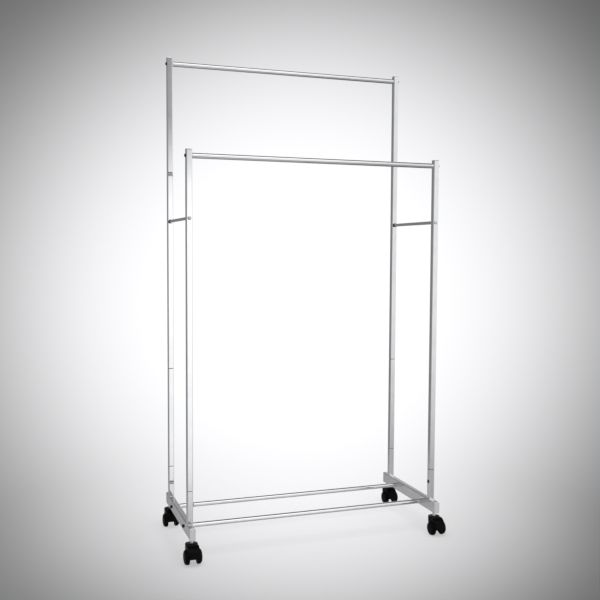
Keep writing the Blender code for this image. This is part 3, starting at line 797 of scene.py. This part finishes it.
def add_casters():
    """Four swivel casters from shared meshes: stem on the frame, hood on its swivel, wheels on the axle."""
    hood = hood_mesh()
    wheels = {side: wheel_mesh(sign) for side, sign in SIDES.items()}
    hood_top = corners_of("caster_hood_front_left")[1].z
    beam_bottom = corners_of("beam_end_cap_front_left")[0].z
    stem = stem_mesh(hood_top, beam_bottom)
    for side in SIDES:
        for end in ENDS:
            stem_node = f"caster_stem_{end}_{side}"
            hood_node = f"caster_hood_{end}_{side}"
            low, high = corners_of(stem_node)
            foot = ((low.x + high.x) / 2, (low.y + high.y) / 2, 0)
            add_piece(f"{stem_node}_neck", stem, "frame", stem_node, foot)
            add_piece(f"{hood_node}_shell", hood, f"caster_{end}_{side}", hood_node, foot)
            for wheel_side, wheel_sign in SIDES.items():
                node = f"caster_wheel_{end}_{side}_{wheel_side}"
                body = f"wheel_{end}_{side}_{wheel_side}"
                inner_face = seat_on(node, "x", -wheel_sign, 0).translation
                add_piece(f"{node}_disc", wheels[wheel_side], body, node, inner_face)


def make_finishes():
    """Every material by name. Each chrome is drawn along one axis."""
    made = {}
    for index, axis in enumerate("xyz"):
        stretch = [1, 1, 1]
        stretch[index] = DRAWN_STRETCH
        made[f"chrome_{axis}"] = metal_material(
            f"chrome_along_{axis}", CHROME_DARK, CHROME_LIGHT, CHROME_ROUGHNESS, stretch, CHROME_WAVE
        )
    for name, dark, light, roughness, stretch, wave in (
        ("chrome_screw", (0.72, 0.72, 0.73), (0.82, 0.82, 0.82), 0.09, (1, 1, 1), CHROME_WAVE),
        ("zinc_steel", (0.74, 0.74, 0.72), (0.84, 0.84, 0.83), 0.16, (1, 1, 1), 3 * CHROME_WAVE),
        # The spigot: unplated steel, made near-black as painted shade for the joint gap.
        ("spigot", (0.05, 0.05, 0.05), (0.10, 0.10, 0.10), 0.30, (1, 1, 0.1), 2 * CHROME_WAVE),
    ):
        made[name] = metal_material(f"{name}_finish", dark, light, roughness, stretch, wave)
    for name, dark, light, roughness, gloss, grain_scale in (
        ("black_screw", (0.007,) * 3, (0.014,) * 3, 0.34, 0.35, 900.0),
        ("grey_cap", (0.66, 0.66, 0.67), (0.73, 0.73, 0.74), 0.30, 0.5, 1400.0),
        ("black_cap", (0.010,) * 3, (0.018,) * 3, 0.42, 0.35, 1400.0),
        ("caster_plastic", (0.0010,) * 3, (0.0020,) * 3, 0.30, 0.06, 1500.0),
        ("wheel_plastic", (0.0012,) * 3, (0.0024,) * 3, 0.36, 0.06, 1700.0),
    ):
        made[name] = plastic_material(f"{name}_finish", dark, light, roughness, gloss, grain_scale)
    made["tread"] = tread_material("tread_finish", (0.002,) * 3)
    return made


set_camera()
build_studio()
build_floor()
add_lamp()
finishes = make_finishes()
for side in SIDES:
    add_upright(f"front_upright_{side}")
    add_upright(f"rear_upright_lower_{side}")
    add_upright(f"rear_upright_upper_{side}")
    add_base_frame(side)
    add_rod(f"link_rod_{side}", ALONG_Y, "chrome_y")
    add_spacer(f"link_spacer_{side}")
    for end, end_sign in ENDS.items():
        add_cap(f"beam_end_cap_{end}_{side}", "y", end_sign, "grey_cap")
        add_cap(f"top_cap_{end}_{side}", "z", 1, "grey_cap")
        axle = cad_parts[f"caster_axle_{end}_{side}"]
        axle.data.materials.clear()
        axle.data.materials.append(finishes["zinc_steel"])
for end in ENDS:
    add_rod(f"{end}_hanging_rail", ALONG_X, "chrome_x")
    add_rod(f"{end}_bottom_bar", ALONG_X, "chrome_x")
add_screws()
add_casters()
